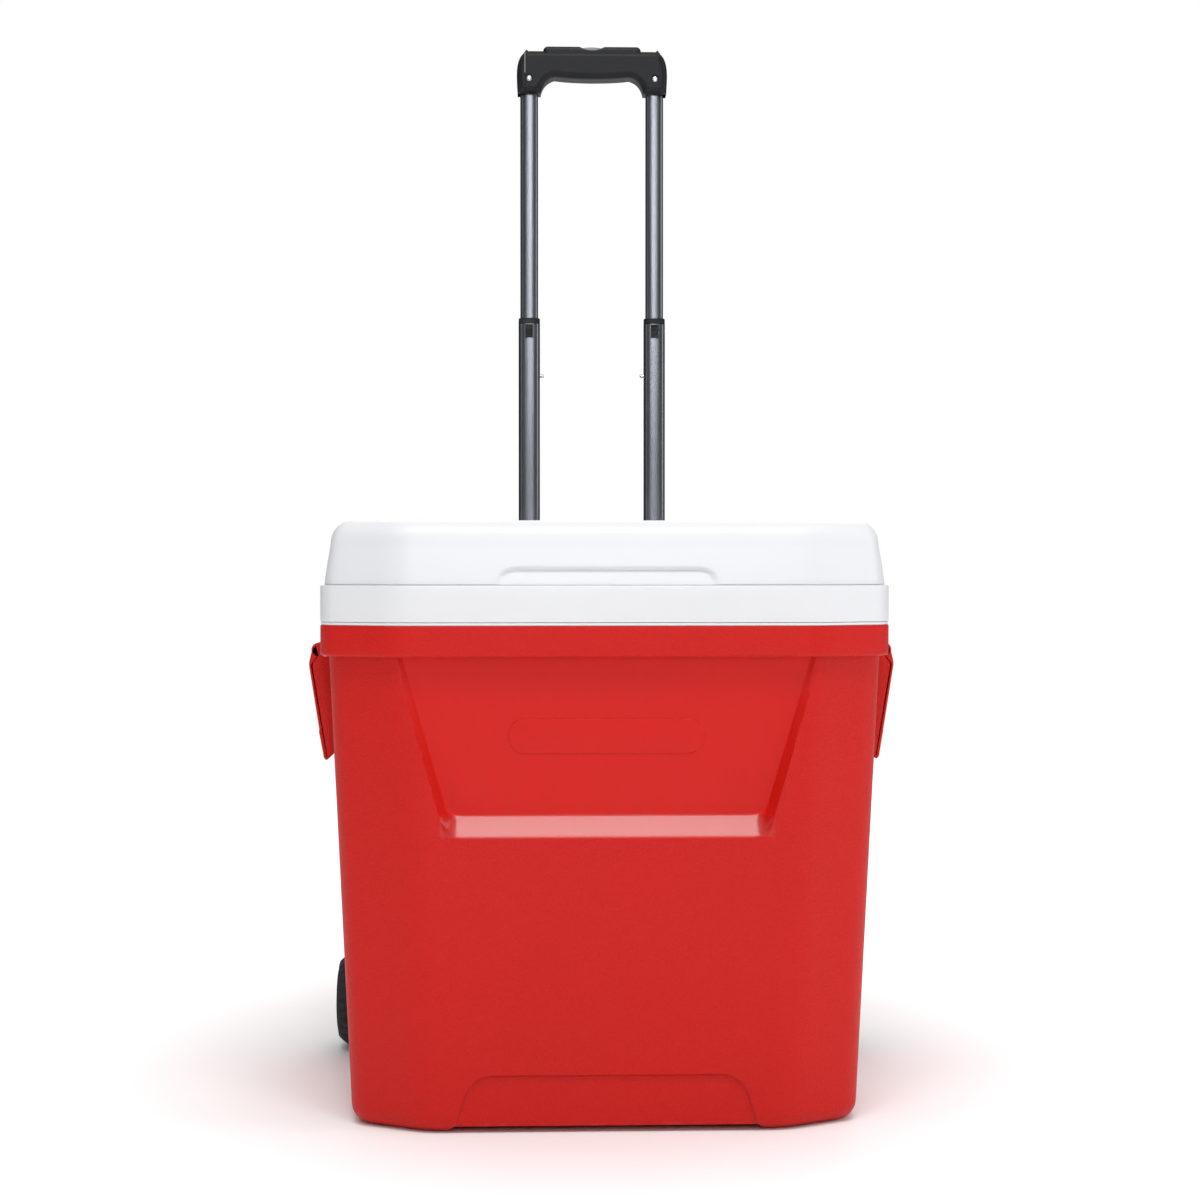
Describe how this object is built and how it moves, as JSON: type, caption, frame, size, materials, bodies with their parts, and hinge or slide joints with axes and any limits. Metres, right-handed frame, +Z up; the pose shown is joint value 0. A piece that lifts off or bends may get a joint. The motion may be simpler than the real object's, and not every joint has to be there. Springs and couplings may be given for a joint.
{
  "type": "wheeled cooler",
  "caption": "Insulated ice chest with a hinged lid, wheels on an axle, swinging carry handles, a screw-cap drain and a telescoping trolley handle with a release button.",
  "frame": {"origin": "on the ground, at the middle of the object's bounding box seen from above, with the trolley handle extended", "axes": "+Z up, -Y towards the front, +X towards the right-hand side seen from the front"},
  "size_m": [0.529, 0.476, 1.0353],
  "materials": {
    "red_plastic": "satin",
    "white_plastic": "satin",
    "foam": "matte",
    "black_plastic": "satin",
    "grey_plastic": "satin",
    "black_tube": "gloss",
    "steel": "satin",
    "tyre_rubber": "matte",
    "seal_rubber": "matte"
  },
  "bodies": {
    "chest": {"chest_shell": "red_plastic", "chest_foam": "foam", "chest_liner": "white_plastic", "drain_fitting": "white_plastic", "drain_gasket": "seal_rubber", "drain_nut": "white_plastic", "hinge_lower_left": "white_plastic", "hinge_lower_right": "white_plastic", "hinge_pin_left": "steel", "hinge_pin_right": "steel", "hinge_screw_lower_left": "steel", "hinge_screw_lower_right": "steel", "handle_top_bracket": "black_plastic", "handle_bottom_bracket": "black_plastic", "top_bracket_screw_left": "steel", "top_bracket_screw_right": "steel", "bottom_bracket_screw_left": "steel", "bottom_bracket_screw_right": "steel", "outer_tube_left": "black_tube", "outer_tube_right": "black_tube", "guide_bush_left": "black_plastic", "guide_bush_right": "black_plastic", "axle": "steel", "axle_block_left": "black_plastic", "axle_block_right": "black_plastic", "side_handle_pin_left": "steel", "side_handle_pin_right": "steel"},
    "lid": {"lid_base": "white_plastic", "lid_top": "white_plastic", "lid_foam": "foam", "hinge_upper_left": "white_plastic", "hinge_upper_right": "white_plastic", "hinge_screw_upper_left": "steel", "hinge_screw_upper_right": "steel"},
    "handle_lower_stage": {"middle_tube_left": "black_tube", "middle_tube_right": "black_tube", "middle_collar_left": "black_plastic", "middle_collar_right": "black_plastic"},
    "handle_upper_stage": {"inner_tube_left": "black_tube", "inner_tube_right": "black_tube", "stop_pin_left": "steel", "stop_pin_right": "steel", "grip_front": "black_plastic", "grip_rear": "black_plastic", "grip_cap_left": "black_plastic", "grip_cap_right": "black_plastic", "grip_screw_left": "steel", "grip_screw_right": "steel", "button_spring": "steel"},
    "release_button": {"release_button": "grey_plastic", "lock_yoke": "steel"},
    "wheel_left": {"wheel_hub_left": "black_plastic", "tyre_left": "tyre_rubber"},
    "wheel_right": {"wheel_hub_right": "black_plastic", "tyre_right": "tyre_rubber"},
    "side_handle_left": {"side_handle_left": "red_plastic"},
    "side_handle_right": {"side_handle_right": "red_plastic"},
    "drain_cap": {"drain_cap": "white_plastic"}
  },
  "joints": [
    {"name": "lid_hinge", "type": "hinge", "parent": "chest", "child": "lid", "pos_m": [0, 0.206, 0.518], "axis": [-1, 0, 0], "range_deg": [0, 90]},
    {"name": "handle_lower_slide", "type": "slide", "parent": "chest", "child": "handle_lower_stage", "axis": [0, 0, 1], "range_m": [-0.296, 0]},
    {"name": "handle_upper_slide", "type": "slide", "parent": "handle_lower_stage", "child": "handle_upper_stage", "axis": [0, 0, 1], "range_m": [-0.232, 0]},
    {"name": "button_press", "type": "slide", "parent": "handle_upper_stage", "child": "release_button", "axis": [0, 0, -1], "range_m": [0, 0.004], "stiffness_N_per_m": 800, "springref_m": -0.004, "deforming": ["button_spring"]},
    {"name": "wheel_left_spin", "type": "hinge", "parent": "chest", "child": "wheel_left", "pos_m": [-0.237, 0.128, 0.048], "axis": [1, 0, 0], "continuous": true},
    {"name": "wheel_right_spin", "type": "hinge", "parent": "chest", "child": "wheel_right", "pos_m": [0.237, 0.128, 0.048], "axis": [1, 0, 0], "continuous": true},
    {"name": "side_handle_left_swing", "type": "hinge", "parent": "chest", "child": "side_handle_left", "pos_m": [-0.256, -0.018, 0.411], "axis": [0, 1, 0], "range_deg": [0, 110]},
    {"name": "side_handle_right_swing", "type": "hinge", "parent": "chest", "child": "side_handle_right", "pos_m": [0.256, -0.018, 0.411], "axis": [0, -1, 0], "range_deg": [0, 110]},
    {"name": "drain_cap_turn", "type": "hinge", "parent": "chest", "child": "drain_cap", "pos_m": [0.238, -0.038, 0.055], "axis": [1, 0, 0], "range_deg": [0, 720]}
  ]
}
